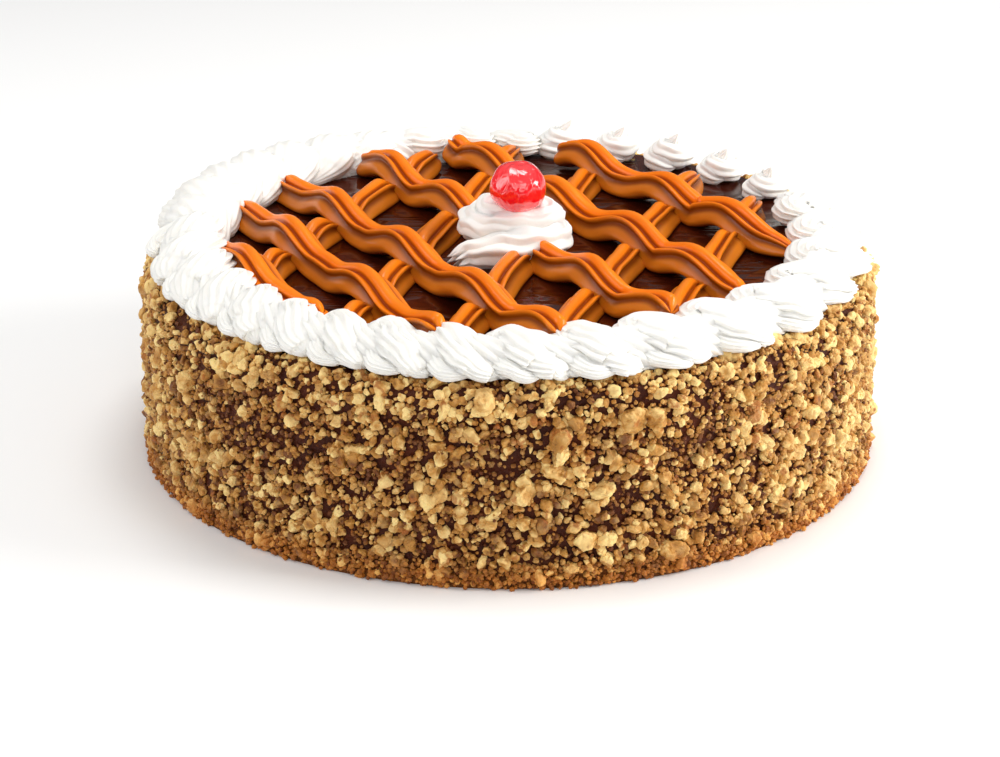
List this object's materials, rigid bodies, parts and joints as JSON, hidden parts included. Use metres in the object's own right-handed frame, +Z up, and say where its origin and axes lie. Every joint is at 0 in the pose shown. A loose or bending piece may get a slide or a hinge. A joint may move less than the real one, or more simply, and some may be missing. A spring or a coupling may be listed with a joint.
{
  "type": "chocolate walnut cake",
  "caption": "Round frosted cake with chopped walnuts round its side, a glazed top, a piped caramel lattice, a piped cream border, and a cream rosette with a cherry in the middle.",
  "frame": {"origin": "centre of the cake's foot, on the surface it stands on", "axes": "+Z up along the cake's axis; the side that the picture shows faces -Y, with +X to its right"},
  "size_m": [0.2423, 0.2425, 0.0944],
  "materials": {
    "frosted_side": "dark chocolate frosting with rough chopped walnuts pressed into it, tan to brown",
    "chocolate_glaze": "glossy dark reddish brown glaze with soft streaks",
    "caramel": "glossy orange brown piped caramel with ridges",
    "cream": "soft white whipped cream with piped ridges",
    "cherry": "glossy translucent red with fine wrinkles"
  },
  "bodies": {
    "root": {"cake_body": "frosted_side", "chocolate_glaze": "chocolate_glaze", "caramel_lower_01": "caramel", "caramel_lower_02": "caramel", "caramel_lower_03": "caramel", "caramel_lower_04": "caramel", "caramel_lower_05": "caramel", "caramel_upper_01": "caramel", "caramel_upper_02": "caramel", "caramel_upper_03": "caramel", "caramel_upper_04": "caramel", "caramel_upper_05": "caramel", "caramel_upper_06": "caramel", "cream_shell_01": "cream", "cream_shell_02": "cream", "cream_shell_03": "cream", "cream_shell_04": "cream", "cream_shell_05": "cream", "cream_shell_06": "cream", "cream_shell_07": "cream", "cream_shell_08": "cream", "cream_shell_09": "cream", "cream_shell_10": "cream", "cream_shell_11": "cream", "cream_shell_12": "cream", "cream_shell_13": "cream", "cream_shell_14": "cream", "cream_shell_15": "cream", "cream_shell_16": "cream", "cream_shell_17": "cream", "cream_shell_18": "cream", "cream_shell_19": "cream", "cream_shell_20": "cream", "cream_shell_21": "cream", "cream_shell_22": "cream", "cream_shell_23": "cream", "cream_shell_24": "cream", "cream_shell_25": "cream", "cream_shell_26": "cream", "cream_shell_27": "cream", "cream_shell_28": "cream", "cream_shell_29": "cream", "cream_shell_30": "cream", "cream_shell_31": "cream", "cream_shell_32": "cream", "cream_shell_33": "cream", "cream_rosette": "cream", "cherry": "cherry"}
  },
  "joints": []
}
